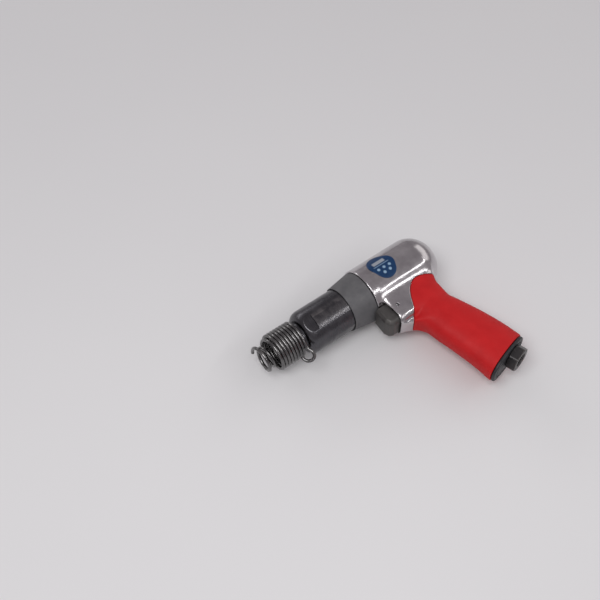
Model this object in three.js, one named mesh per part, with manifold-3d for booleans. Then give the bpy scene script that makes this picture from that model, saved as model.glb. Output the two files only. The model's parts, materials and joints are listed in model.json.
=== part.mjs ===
// Pistol-grip pneumatic air hammer, lying on its right side.
// Millimetres. +X runs from the nose to the rear, +Y from the grip to the spine, +Z up (the tool's left).
// Every part is drawn about the barrel axis, with x = 0 at the front edge of the exhaust collar.
import * as THREE from "three";
import { mergeVertices } from "three/addons/utils/BufferGeometryUtils.js";
import Module from "manifold-3d";

const wasm = await Module();
wasm.setup();

// ---------- driving dimensions ----------
const GAP = 0.3;
const BODY = { radius: 27, front: 24.2, domeStart: 84, domeLength: 24.5, bore: 21.6, boreEnd: 85.6 };
const CAVITY = { radius: 15, end: 97 };
const BARREL = {
  radius: 21.2, noseRadius: 14.1, noseFront: -66, noseRear: -48.4, shoulder: -39.5, rear: 61.8,
  bore: 9.5, socket: 5.2, socketEnd: -34,
};
const FLAT = { rear: -35.6, front: -50, depth: 1.7, tilt: 16 };
// Exhaust ports under the collar, drillings that feed the front of the bore, groove of the sealing ring.
const PORT = { x: 12, radius: 2 };
const FEED = { front: -27, circle: 15.4, angle: 45, radius: 1.3, crossRadius: 1.1 };
const GROOVE = { front: 33, rear: 35.6, depth: 2 };
const COLLAR = { front: 0, rear: 23.7, frontRadius: 22.6, rearRadius: 26, wall: 2.3, lip: 4, taper: 8 };
const SPRING = {
  wire: 1.55, radius: 16.4, rear: -52.9, startAngle: 318, pitch: 3.264, turns: 7.797,
  waist: 9.6, mouth: 12.6, endTurns: 2.6, stretch: 5.2,
};
// Finger hook at the spring's rear end: straight lead off the coil, then a bend of the given radius.
const HOOK = { lead: 9, radius: 5.6, offset: -3.6, reach: 6.2, dip: 12, from: -30, to: 195, step: 25 };
const PISTON = { radius: 9.35, rear: 61.6, length: 30 };
const VALVE = {
  radius: 21.2, blockRear: 70.2, gap: 2.2, coverRear: 82, plateRadius: 11, plateWall: 1.4, recess: 1.2,
};
const BLOCK_PORTS = { count: 6, circle: 8.2, radius: 1.2, first: 30 };
const COVER_PORTS = { count: 4, circle: 12.6, radius: 1.6, first: 45 };
const DOWEL = { front: 55.5, y: -15.5, radius: 1.5, hole: 1.8 };
const CUSHION = { outer: 20.6, inner: 17 };
const TRIGGER = { halfWidth: 12.1, bevel: 3.4, rear: 43, top: -23, bottom: -47.7, corner: 6.5, travel: 4.5 };
const POCKET = { front: 14, rear: 48.6, halfWidth: 13.6, top: -22, bottom: -48.9, corner: 8 };
const PIN = { x: 37.6, y: -34.6, radius: 1.2, hole: 1.5, halfLength: 14.6 };
const THROTTLE = { y: -38, bore: 7.2, boreEnd: 80.5, stem: 2, seat: 63.2, portX: 57.5, portRadius: 1.8 };
const PASSAGE = { from: [55, -33, 0], to: [78, -15.9, 0], radius: 2.6 };
const RETURN_SPRING = { turns: 4.5, wire: 0.45, radius: 4 };
const SLEEVE = 2.4;
const HANDLE_END = { x: 85, y: -130, tilt: 15.5, plate: 3 };
const INLET = {
  offset: 6, flats: 22, hexLength: 9, hexTurn: 16, neck: 8.5, neckLength: 15, bore: 5.7, passageEnd: -94,
};
const SCREEN = { thickness: 1.2, spacing: 2.6, hole: 0.9 };
const BADGE = { corners: [[47, 6], [51.3, 3.1], [49.4, -1.1]], corner: 10.8, lift: 0.1, thickness: 0.55 };

// Handle sections from the barrel down to the air inlet: centre, fore-and-aft tilt in degrees,
// half length fore and aft, half thickness.
const GRIP_SECTIONS = [
  { x: 71.5, y: -22, tilt: 8, long: 19, thick: 15 },
  { x: 68.2, y: -34, tilt: 12, long: 19.3, thick: 15.3 },
  { x: 67.3, y: -50, tilt: 14, long: 19.8, thick: 15.3 },
  { x: 71.2, y: -66, tilt: 16, long: 21.7, thick: 15.4 },
  { x: 76.3, y: -84, tilt: 16, long: 23.3, thick: 15.5 },
  { x: 80.7, y: -102, tilt: 16, long: 24.5, thick: 15.6 },
  { x: 83.5, y: -117, tilt: 15.5, long: 25.3, thick: 15.8 },
  { x: HANDLE_END.x, y: HANDLE_END.y, tilt: HANDLE_END.tilt, long: 26, thick: 16 },
];
// Web between barrel housing and grip, which holds the trigger.
const WEB_SECTIONS = [
  { x: 60, y: -8, tilt: 0, long: 32.5, thick: 23 },
  { x: 60.5, y: -15, tilt: 0, long: 32.3, thick: 21.9 },
  { x: 60, y: -20, tilt: 0, long: 31.5, thick: 19 },
  { x: 59, y: -26, tilt: 0, long: 30, thick: 17 },
  { x: 57.5, y: -34, tilt: 0, long: 28, thick: 15.9 },
  { x: 57, y: -41, tilt: 0, long: 28, thick: 15.3 },
  { x: 57, y: -45, tilt: 0, long: 27.9, thick: 14.3 },
  { x: 57.2, y: -48, tilt: 0, long: 27.5, thick: 12.2 },
  { x: 57.8, y: -50, tilt: 0, long: 26.6, thick: 9.4 },
  { x: 59, y: -51.8, tilt: 0, long: 24.2, thick: 8.4 },
  { x: 62, y: -55, tilt: 0, long: 19.5, thick: 9.4 },
  { x: 66, y: -60, tilt: 0, long: 16.5, thick: 10.6 },
  { x: 70, y: -68, tilt: 0, long: 12, thick: 9.5 },
];
// Superellipse exponents: the grip is oval, the web has flat sides and a square front.
const GRIP_POWER = 2.5;
const WEB_POWER = 7;
// Upper edge of the rubber sleeve, from the front strap round to the thumb web.
const SLEEVE_EDGE = [
  [20, -74], [38, -58.5], [44.2, -51], [48.5, -45.5], [53.4, -35.4], [57.8, -28.6],
  [63, -24], [68, -22.2], [73.5, -22.4], [79, -24], [85, -26.5], [95, -29], [112, -31],
];

// ---------- materials ----------
const finish = (color, metalness, roughness) =>
  new THREE.MeshStandardMaterial({ color, metalness, roughness });
const MATERIALS = {
  castAluminium: finish(0xa9a6a8, 1, 0.3),
  blackSteel: finish(0x37363b, 0.9, 0.35),
  greySteel: finish(0x5c5b60, 0.7, 0.55),
  springSteel: finish(0x2b2a2e, 1, 0.25),
  brightSteel: finish(0x9c9da0, 1, 0.25),
  brass: finish(0xb0904a, 1, 0.35),
  redRubber: finish(0xbe2626, 0, 0.55),
  blackRubber: finish(0x17171a, 0, 0.7),
  blackPlastic: finish(0x1c1c20, 0, 0.5),
  triggerSteel: finish(0x45444a, 0.5, 0.45),
  inletSteel: finish(0x34333a, 0.8, 0.4),
  badge: finish(0x12386b, 0.1, 0.35),
};

// ---------- solids ----------
const radians = (degrees) => (degrees * Math.PI) / 180;

function solid(geometry) {
  const bare = new THREE.BufferGeometry();
  const source = geometry.index ? geometry.toNonIndexed() : geometry;
  bare.setAttribute("position", source.getAttribute("position"));
  const merged = mergeVertices(bare, 1e-4);
  return new wasm.Manifold(
    new wasm.Mesh({
      numProp: 3,
      vertProperties: new Float32Array(merged.attributes.position.array),
      triVerts: new Uint32Array(merged.index.array),
    }),
  );
}

function geometryOf(body) {
  const mesh = body.getMesh();
  const geometry = new THREE.BufferGeometry();
  geometry.setAttribute("position", new THREE.BufferAttribute(mesh.vertProperties, 3));
  geometry.setIndex(new THREE.BufferAttribute(mesh.triVerts, 1));
  const faceted = geometry.toNonIndexed();
  faceted.computeVertexNormals();
  return faceted;
}

// A solid turned about the barrel axis; the outline lists [x, radius] from the nose side outwards.
function turned(outline, segments = 32) {
  const points = outline.map(([x, radius]) => new THREE.Vector2(radius, x));
  const closed = outline[0][1] > 0 ? [...points, points[0].clone()] : points;
  const lathe = new THREE.LatheGeometry(closed, segments);
  lathe.rotateZ(-Math.PI / 2);
  return solid(lathe);
}

const disc = (from, to, radius, segments = 32) =>
  turned([[from, 0], [from, radius], [to, radius], [to, 0]], segments);

const tube = (from, to, outer, inner, segments = 32) =>
  turned([[from, inner], [from, outer], [to, outer], [to, inner]], segments);

// A round bar between two points.
function rod(from, to, radius, segments = 24) {
  const start = new THREE.Vector3(...from);
  const end = new THREE.Vector3(...to);
  const axis = end.clone().sub(start);
  const bar = new THREE.CylinderGeometry(radius, radius, axis.length(), segments);
  bar.translate(0, axis.length() / 2, 0);
  const upright = new THREE.Vector3(0, 1, 0);
  bar.applyQuaternion(new THREE.Quaternion().setFromUnitVectors(upright, axis.normalize()));
  bar.translate(...from);
  return solid(bar);
}

// A plate with the given side outline (a THREE.Shape in x and y), centred on the mid-plane.
function plate(shape, halfThickness, bevel = 0) {
  const extruded = new THREE.ExtrudeGeometry(shape, {
    depth: 2 * (halfThickness - bevel),
    bevelEnabled: bevel > 0,
    bevelThickness: bevel,
    bevelSize: bevel,
    bevelOffset: -bevel,
    bevelSegments: 1,
    curveSegments: 6,
  });
  extruded.translate(0, 0, bevel - halfThickness);
  return solid(extruded);
}

// A bar along x, open upwards in y, with a flat underside and round lower edges.
function channel(halfWidth, bottom, corner) {
  const flat = halfWidth - corner;
  const section = new THREE.Shape();
  section.moveTo(halfWidth, 0);
  section.lineTo(-halfWidth, 0);
  section.lineTo(-halfWidth, bottom + corner);
  section.absarc(-flat, bottom + corner, corner, Math.PI, 1.5 * Math.PI);
  section.absarc(flat, bottom + corner, corner, 1.5 * Math.PI, 2 * Math.PI);
  section.closePath();
  const length = 80;
  const bar = new THREE.ExtrudeGeometry(section, { depth: length, bevelEnabled: false, curveSegments: 6 });
  bar.rotateY(Math.PI / 2);
  return solid(bar);
}

const outlineShape = (points) => new THREE.Shape(points.map(([x, y]) => new THREE.Vector2(x, y)));

// A smooth skin through superellipse sections, each shrunk by inset.
function loft(sections, exponent, inset = 0, around = 28, along = 11) {
  const centres = new THREE.CatmullRomCurve3(sections.map((s) => new THREE.Vector3(s.x, s.y, s.tilt)));
  const sizes = new THREE.CatmullRomCurve3(sections.map((s) => new THREE.Vector3(s.long, s.thick, 0)));
  const skin = new THREE.CylinderGeometry(1, 1, 1, around, along);
  const vertices = skin.getAttribute("position");
  const rounded = (value) =>
    Math.abs(value) < 1e-9 ? 0 : Math.sign(value) * Math.abs(value) ** (2 / exponent);
  for (let i = 0; i < vertices.count; i += 1) {
    const station = THREE.MathUtils.clamp(0.5 - vertices.getY(i), 0, 1);
    const centre = centres.getPoint(station);
    const size = sizes.getPoint(station);
    const foreAft = rounded(vertices.getX(i)) * (size.x - inset);
    const height = rounded(-vertices.getZ(i)) * (size.y - inset);
    const tilt = radians(centre.z);
    vertices.setXYZ(i, centre.x + foreAft * Math.cos(tilt), centre.y + foreAft * Math.sin(tilt), -height);
  }
  return solid(skin);
}

// A point in the plane of the grip's lower end: fore-and-aft offset, depth below it, height.
function endPoint(offset, depth, height = 0) {
  const tilt = radians(HANDLE_END.tilt);
  return [
    HANDLE_END.x + offset * Math.cos(tilt) + depth * Math.sin(tilt),
    HANDLE_END.y + offset * Math.sin(tilt) - depth * Math.cos(tilt),
    height,
  ];
}

const inletRod = (from, to, radius, segments = 24) =>
  rod(endPoint(INLET.offset, from), endPoint(INLET.offset, to), radius, segments);

// ---------- the main casting ----------
function bodySkin(grow = 0) {
  const dome = [];
  const steps = 6;
  for (let i = 0; i <= steps; i += 1) {
    const turn = (i / steps) * (Math.PI / 2);
    const x = BODY.domeStart + (BODY.domeLength + grow) * Math.sin(turn);
    dome.push([x, i === steps ? 0 : (BODY.radius + grow) * Math.cos(turn)]);
  }
  const edge = 0.9;
  return turned(
    [[BODY.front - grow, 0], [BODY.front - grow, BODY.radius + grow - edge],
      [BODY.front - grow + edge, BODY.radius + grow], ...dome],
    48,
  );
}

function sleeveRegion(shift) {
  const edge = SLEEVE_EDGE.map(([x, y]) => [x - shift, y + shift]);
  const below = [[150, -31], [150, -170], [20, -170]];
  return plate(outlineShape([...edge, ...below]), 40);
}

const handle = (inset) =>
  loft(GRIP_SECTIONS, GRIP_POWER, inset).add(loft(WEB_SECTIONS, WEB_POWER, inset, 32, 24));

function housing() {
  const pocket = plate(
    outlineShape([
      [POCKET.front, POCKET.top], [POCKET.front, POCKET.bottom],
      [POCKET.rear, POCKET.bottom], [POCKET.rear, POCKET.top],
    ]),
    POCKET.halfWidth,
  )
    .intersect(channel(POCKET.halfWidth, POCKET.bottom, POCKET.corner))
    .subtract(disc(BODY.front, POCKET.rear + 4, BODY.radius, 48));
  const chamber = turned([
    [BODY.front - 1, 0], [BODY.front - 1, BODY.bore], [BODY.boreEnd, BODY.bore],
    [BODY.boreEnd, CAVITY.radius], [CAVITY.end - 4, CAVITY.radius], [CAVITY.end, CAVITY.radius - 4],
    [CAVITY.end, 0],
  ]);
  return bodySkin()
    .add(handle(0).subtract(sleeveRegion(GAP)))
    .add(handle(SLEEVE + GAP))
    .subtract(chamber)
    .subtract(pocket)
    .subtract(rod([PIN.x, PIN.y, -20], [PIN.x, PIN.y, 20], PIN.hole, 16))
    .subtract(rod([POCKET.rear - 1, THROTTLE.y, 0], [THROTTLE.boreEnd, THROTTLE.y, 0], THROTTLE.bore))
    .subtract(rod(PASSAGE.from, PASSAGE.to, PASSAGE.radius, 16))
    .subtract(inletRod(1, INLET.passageEnd, INLET.bore, 24))
    .subtract(inletRod(1, -INLET.neckLength - 1, INLET.neck + GAP, 28));
}

function gripSleeve() {
  return handle(0)
    .intersect(sleeveRegion(0))
    .subtract(handle(SLEEVE))
    .subtract(bodySkin(GAP));
}

// ---------- barrel and percussion parts ----------
function barrel() {
  const shoulder = [];
  const steps = 5;
  const drop = BARREL.radius - BARREL.noseRadius;
  for (let i = 0; i <= steps; i += 1) {
    const turn = (i / steps) * (Math.PI / 2);
    shoulder.push([
      BARREL.shoulder + (BARREL.noseRear - BARREL.shoulder) * Math.cos(turn),
      BARREL.noseRadius + drop * Math.sin(turn),
    ]);
  }
  let body = turned([
    [BARREL.noseFront, BARREL.socket + 0.8], [BARREL.noseFront, BARREL.noseRadius - 1],
    [BARREL.noseFront + 1, BARREL.noseRadius], ...shoulder,
    [BARREL.rear, BARREL.radius], [BARREL.rear, BARREL.bore],
    [BARREL.socketEnd, BARREL.bore], [BARREL.socketEnd, BARREL.socket],
    [BARREL.noseFront + 0.8, BARREL.socket],
  ]);
  for (const side of [0, 180]) {
    const turn = radians(FLAT.tilt + side);
    const cutter = new THREE.BoxGeometry(FLAT.rear - FLAT.front, 40, 6);
    cutter.translate((FLAT.rear + FLAT.front) / 2, 0, BARREL.radius - FLAT.depth + 3);
    cutter.rotateX(turn);
    body = body.subtract(solid(cutter));
  }
  const beyond = BARREL.radius + 2;
  body = body
    .subtract(rod([PORT.x, -beyond, 0], [PORT.x, beyond, 0], PORT.radius, 14))
    .subtract(rod([PORT.x, 0, -beyond], [PORT.x, 0, beyond], PORT.radius, 14));
  for (const side of [-1, 1]) {
    const y = FEED.circle * Math.sin(radians(FEED.angle)) * side;
    const z = FEED.circle * Math.cos(radians(FEED.angle)) * side;
    body = body
      .subtract(rod([FEED.front, y, z], [BARREL.rear + 1, y, z], FEED.radius, 10))
      .subtract(rod([FEED.front, 0, 0], [FEED.front, y, z], FEED.crossRadius, 8));
  }
  return body
    .subtract(dowelHole(DOWEL.front - 0.5, BARREL.rear + 1))
    .subtract(tube(GROOVE.front, GROOVE.rear, BARREL.radius + 1, BARREL.radius - GROOVE.depth));
}

function exhaustCollar() {
  return turned([
    [COLLAR.front, BARREL.radius + GAP], [COLLAR.front, COLLAR.frontRadius - 0.4],
    [COLLAR.front + 0.4, COLLAR.frontRadius], [COLLAR.rear, COLLAR.rearRadius],
    [COLLAR.rear, COLLAR.rearRadius - COLLAR.wall], [COLLAR.taper, BARREL.radius + 1.6],
    [COLLAR.lip, BARREL.radius + GAP],
  ], 48);
}

// Close turns, narrowing waist and widening mouth, counted in turns from the spring's rear end.
function coilPoint(turn) {
  const past = Math.max(0, turn - SPRING.turns) / SPRING.endTurns;
  const narrowing = THREE.MathUtils.smoothstep(past, 0, 0.5);
  const widening = THREE.MathUtils.smoothstep(past, 0.5, 0.95);
  const radius =
    SPRING.radius + (SPRING.waist - SPRING.radius) * narrowing + (SPRING.mouth - SPRING.waist) * widening;
  const advance = SPRING.pitch * turn + SPRING.stretch * THREE.MathUtils.smoothstep(past, 0, 0.9);
  const angle = radians(SPRING.startAngle) + 2 * Math.PI * turn;
  return new THREE.Vector3(SPRING.rear - advance, radius * Math.sin(angle), radius * Math.cos(angle));
}

// The finger hook, from its free end back to the coil: it curls towards the nose.
function hookPoints() {
  const start = coilPoint(0);
  const lead = start.clone().sub(coilPoint(0.001)).setX(0).normalize();
  const bend = start.clone().addScaledVector(lead, HOOK.lead);
  const outward = new THREE.Vector3(0, -Math.cos(radians(HOOK.dip)), -Math.sin(radians(HOOK.dip)));
  const points = [];
  for (let turn = HOOK.to; turn >= HOOK.from; turn -= HOOK.step) {
    const along = HOOK.offset + HOOK.radius * Math.cos(radians(turn));
    const out = HOOK.reach + HOOK.radius * Math.sin(radians(turn));
    points.push(bend.clone().addScaledVector(outward, out).add(new THREE.Vector3(along, 0, 0)));
  }
  points.push(bend, start.clone().addScaledVector(lead, HOOK.lead / 2));
  return points;
}

function retainingSpring() {
  const points = hookPoints();
  const samples = 140;
  for (let i = 0; i <= samples; i += 1) {
    points.push(coilPoint((i / samples) * (SPRING.turns + SPRING.endTurns)));
  }
  const wire = new THREE.CatmullRomCurve3(points, false, "centripetal");
  const section = new THREE.Shape();
  section.absarc(0, 0, SPRING.wire, 0, 2 * Math.PI, false);
  return solid(
    new THREE.ExtrudeGeometry(section, {
      steps: 165, curveSegments: 3, bevelEnabled: false, extrudePath: wire,
    }),
  );
}

function piston() {
  const front = PISTON.rear - PISTON.length;
  const groove = PISTON.radius - 0.9;
  return turned([
    [front, 0], [front, PISTON.radius - 1.2], [front + 1.2, PISTON.radius],
    [front + 9, PISTON.radius], [front + 9.5, groove], [front + 12, groove], [front + 12.5, PISTON.radius],
    [PISTON.rear - 1, PISTON.radius], [PISTON.rear, PISTON.radius - 1],
    [PISTON.rear, 4], [PISTON.rear - 6, 4], [PISTON.rear - 8, 0],
  ], 28);
}

// ---------- distribution valve ----------
function dowelHole(from, to) {
  return rod([from, DOWEL.y, 0], [to, DOWEL.y, 0], DOWEL.hole, 12);
}

// Takes a ring of holes out of a body, from x = from to x = to.
function withPorts(body, ports, from, to) {
  let drilled = body;
  for (let i = 0; i < ports.count; i += 1) {
    const angle = radians(ports.first + (360 / ports.count) * i);
    const y = ports.circle * Math.cos(angle);
    const z = ports.circle * Math.sin(angle);
    drilled = drilled.subtract(rod([from, y, z], [to, y, z], ports.radius, 10));
  }
  return drilled;
}

function valveBlock() {
  const front = BARREL.rear + GAP;
  const rear = VALVE.blockRear;
  const body = tube(front, rear, VALVE.radius, 4)
    .subtract(disc(rear - VALVE.recess, rear + 1, VALVE.plateRadius + 0.5));
  return withPorts(body, BLOCK_PORTS, front - 1, rear + 1).subtract(dowelHole(front - 1, rear + 1));
}

function valveCover() {
  const front = VALVE.blockRear + VALVE.gap;
  const rear = VALVE.coverRear;
  const body = turned([
    [front, 2.5], [front, 14], [front - VALVE.gap + GAP, 17], [front - VALVE.gap + GAP, VALVE.radius],
    [rear, VALVE.radius], [rear, 17.5], [rear - 1.5, 16], [rear - 1.5, 2.5],
  ]);
  return withPorts(body, COVER_PORTS, front - 4, rear + 1).subtract(dowelHole(front - 3, rear + 1));
}

function valvePlate() {
  const front = VALVE.blockRear - VALVE.recess + GAP;
  return tube(front, front + VALVE.plateWall, VALVE.plateRadius, 2, 36);
}

const dowel = () => rod([DOWEL.front, DOWEL.y, 0], [VALVE.coverRear - 1, DOWEL.y, 0], DOWEL.radius, 12);

function ringSeal(x, radius, wire, around = 24) {
  const torus = new THREE.TorusGeometry(radius, wire, 6, around);
  torus.rotateY(Math.PI / 2);
  torus.translate(x, 0, 0);
  return solid(torus);
}

const cushionRing = () =>
  tube(VALVE.coverRear + GAP, BODY.boreEnd - GAP, CUSHION.outer, CUSHION.inner);

// ---------- trigger and throttle ----------
function trigger() {
  const { rear, top, bottom } = TRIGGER;
  const side = outlineShape([
    [19.6, top], [18.4, -40], [20.2, bottom + 2.6], [24.4, bottom], [rear, bottom], [rear, top],
  ]);
  const body = plate(side, TRIGGER.halfWidth, TRIGGER.bevel)
    .intersect(channel(TRIGGER.halfWidth, bottom, TRIGGER.corner));
  const slotFront = PIN.x - PIN.radius - TRIGGER.travel - 0.4;
  const slotRear = PIN.x + PIN.radius + 0.4;
  const slotBottom = PIN.y - PIN.radius - 0.4;
  const slotTop = PIN.y + PIN.radius + 0.4;
  const slot = plate(
    outlineShape([
      [slotFront, slotBottom], [slotRear, slotBottom], [slotRear, slotTop], [slotFront, slotTop],
    ]),
    TRIGGER.halfWidth + 2,
  );
  return body
    .subtract(slot)
    .subtract(disc(BODY.front - 30, TRIGGER.rear + 8, BODY.radius + 0.4, 48));
}

function triggerPin() {
  const outer = rod([PIN.x, PIN.y, -PIN.halfLength], [PIN.x, PIN.y, PIN.halfLength], PIN.radius, 16);
  const inner = rod([PIN.x, PIN.y, -PIN.halfLength - 1], [PIN.x, PIN.y, PIN.halfLength + 1], 0.6, 10);
  return outer.subtract(inner);
}

const shifted = (body, y) => body.translate([0, y, 0]);

function throttleStem() {
  const front = TRIGGER.rear + GAP;
  const seat = THROTTLE.seat;
  return shifted(
    turned([
      [front, 0], [front, THROTTLE.stem], [seat + 2, THROTTLE.stem], [seat + 2, 5], [seat + 4.2, 5],
      [seat + 4.2, 2.2], [seat + 7.5, 2.2], [seat + 7.5, 0],
    ], 24),
    THROTTLE.y,
  );
}

const throttleSeal = () =>
  shifted(tube(THROTTLE.seat + 0.1, THROTTLE.seat + 1.7, 5, THROTTLE.stem + GAP, 24), THROTTLE.y);

function throttleBushing() {
  const front = POCKET.rear + 1.6;
  const rear = THROTTLE.seat - 0.2;
  const outer = THROTTLE.bore - GAP;
  const body = shifted(
    turned([
      [front, THROTTLE.stem + GAP], [front, outer], [front + 1, outer], [front + 1, outer - 1.4],
      [front + 2.8, outer - 1.4], [front + 2.8, outer], [rear, outer], [rear, 3.6],
      [front + 3.6, 3.6], [front + 3.6, THROTTLE.stem + GAP],
    ], 24),
    THROTTLE.y,
  );
  const { portX, portRadius, y } = THROTTLE;
  const reach = THROTTLE.bore + 1.8;
  return body
    .subtract(rod([portX, y - reach, 0], [portX, y + reach, 0], portRadius, 8))
    .subtract(rod([portX, y, -reach], [portX, y, reach], portRadius, 8));
}

function bushingSeal() {
  return shifted(ringSeal(POCKET.rear + 3.5, THROTTLE.bore - 1.0, 0.6, 24), THROTTLE.y);
}

function throttleSpring() {
  const front = THROTTLE.seat + 4.6;
  const rear = THROTTLE.boreEnd - GAP;
  const { turns, wire, radius } = RETURN_SPRING;
  class Coil extends THREE.Curve {
    getPoint(t, target = new THREE.Vector3()) {
      const angle = 2 * Math.PI * turns * t;
      const x = THREE.MathUtils.lerp(front + wire, rear - wire, t);
      return target.set(x, THROTTLE.y + radius * Math.sin(angle), radius * Math.cos(angle));
    }
  }
  const section = new THREE.Shape();
  section.absarc(0, 0, wire, 0, 2 * Math.PI, false);
  return solid(
    new THREE.ExtrudeGeometry(section, {
      steps: 63, curveSegments: 2, bevelEnabled: false, extrudePath: new Coil(),
    }),
  );
}

// ---------- grip end ----------
function endPlate() {
  const top = endPoint(0, GAP);
  const bottom = endPoint(0, GAP + HANDLE_END.plate);
  const size = { tilt: HANDLE_END.tilt, long: 24.8, thick: 14.9 };
  const slab = loft([
    { x: top[0], y: top[1], ...size, long: 25.2, thick: 15.3 },
    { x: (top[0] + bottom[0]) / 2, y: (top[1] + bottom[1]) / 2, ...size },
    { x: bottom[0], y: bottom[1], ...size, long: 23.4, thick: 13.6 },
  ], GRIP_POWER, 0, 28, 2);
  return slab.subtract(inletRod(-5, 10, INLET.neck + GAP));
}

function inletBushing() {
  const hexTop = GAP * 2 + HANDLE_END.plate;
  const radius = INLET.flats / 2 / Math.cos(Math.PI / 6);
  const hex = new THREE.CylinderGeometry(radius, radius, INLET.hexLength, 6);
  hex.rotateY(radians(INLET.hexTurn));
  hex.translate(0, -INLET.hexLength / 2, 0);
  hex.rotateZ(radians(HANDLE_END.tilt));
  hex.translate(...endPoint(INLET.offset, hexTop));
  const crown = rod(
    endPoint(INLET.offset, hexTop - 1), endPoint(INLET.offset, hexTop + INLET.hexLength), radius - 0.5, 36,
  );
  return solid(hex)
    .intersect(crown)
    .add(inletRod(-INLET.neckLength, hexTop + 1, INLET.neck))
    .subtract(inletRod(-INLET.neckLength - 2, hexTop + INLET.hexLength + 2, INLET.bore))
    .subtract(inletRod(-2.4, -0.2, INLET.neck + 2).subtract(inletRod(-3, 1, INLET.neck - 1.6)));
}

function inletSeal() {
  const torus = new THREE.TorusGeometry(INLET.neck - 0.6, 0.75, 6, 24);
  torus.rotateX(Math.PI / 2);
  torus.rotateZ(radians(HANDLE_END.tilt));
  torus.translate(...endPoint(INLET.offset, -1.3));
  return solid(torus);
}

function inletScreen() {
  const top = -INLET.neckLength + 2;
  let screen = inletRod(top, top + SCREEN.thickness, INLET.bore - GAP, 24);
  for (let row = -1; row <= 1; row += 1) {
    for (let column = -1; column <= 1; column += 1) {
      const offset = INLET.offset + row * SCREEN.spacing;
      const from = endPoint(offset, top - 2, column * SCREEN.spacing);
      const to = endPoint(offset, top + 3, column * SCREEN.spacing);
      screen = screen.subtract(rod(from, to, SCREEN.hole, 8));
    }
  }
  return screen;
}

// ---------- badge ----------
function badge() {
  const { corners, corner, lift, thickness } = BADGE;
  const shape = new THREE.Shape();
  corners.forEach(([x, y], i) => {
    const [px, py] = corners[(i + 2) % 3];
    const [nx, ny] = corners[(i + 1) % 3];
    const before = Math.atan2(y - py, x - px) + Math.PI / 2;
    const after = Math.atan2(ny - y, nx - x) + Math.PI / 2;
    const point = [x + corner * Math.cos(before), y + corner * Math.sin(before)];
    if (i === 0) shape.moveTo(...point);
    else shape.lineTo(...point);
    shape.absarc(x, y, corner, before, after, true);
  });
  const prism = new THREE.ExtrudeGeometry(shape, { depth: 40, bevelEnabled: false, curveSegments: 7 });
  const inner = BODY.radius + lift;
  return solid(prism).intersect(tube(BODY.front, BODY.domeStart, inner + thickness, inner, 96));
}

// ---------- assembly ----------
const tool = new THREE.Group();

function add(name, body, material) {
  const mesh = new THREE.Mesh(geometryOf(body), material);
  mesh.name = name;
  tool.add(mesh);
}

add("housing", housing(), MATERIALS.castAluminium);
add("barrel", barrel(), MATERIALS.blackSteel);
add("exhaust_collar", exhaustCollar(), MATERIALS.greySteel);
add("barrel_oring", ringSeal(34.3, BARREL.radius - 0.7, 0.85), MATERIALS.blackRubber);
add("retaining_spring", retainingSpring(), MATERIALS.springSteel);
add("piston", piston(), MATERIALS.brightSteel);
add("valve_block", valveBlock(), MATERIALS.brightSteel);
add("valve_plate", valvePlate(), MATERIALS.brightSteel);
add("valve_cover", valveCover(), MATERIALS.brightSteel);
add("valve_dowel", dowel(), MATERIALS.brightSteel);
add("cushion_ring", cushionRing(), MATERIALS.blackRubber);
add("trigger", trigger(), MATERIALS.triggerSteel);
add("trigger_pin", triggerPin(), MATERIALS.brightSteel);
add("throttle_stem", throttleStem(), MATERIALS.brightSteel);
add("throttle_seal", throttleSeal(), MATERIALS.blackRubber);
add("throttle_bushing", throttleBushing(), MATERIALS.brass);
add("bushing_oring", bushingSeal(), MATERIALS.blackRubber);
add("throttle_spring", throttleSpring(), MATERIALS.brightSteel);
add("grip_sleeve", gripSleeve(), MATERIALS.redRubber);
add("end_plate", endPlate(), MATERIALS.blackPlastic);
add("inlet_bushing", inletBushing(), MATERIALS.inletSteel);
add("inlet_oring", inletSeal(), MATERIALS.blackRubber);
add("inlet_screen", inletScreen(), MATERIALS.brass);
add("badge", badge(), MATERIALS.badge);

tool.updateMatrixWorld(true);
const box = new THREE.Box3().setFromObject(tool, true);
tool.position.set(-(box.min.x + box.max.x) / 2, -(box.min.y + box.max.y) / 2, -box.min.z);

export default tool;
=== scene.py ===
"""Looks of the pneumatic air hammer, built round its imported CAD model.

Shapes are worked out in millimetres in the tool's own frame: x along the barrel from the front edge of the
exhaust collar to the rear, y from the grip up to the spine, z towards the tool's left side, which faces up.
"""

import json
import math

import bpy
import numpy as np
from mathutils import Matrix, Vector

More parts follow.
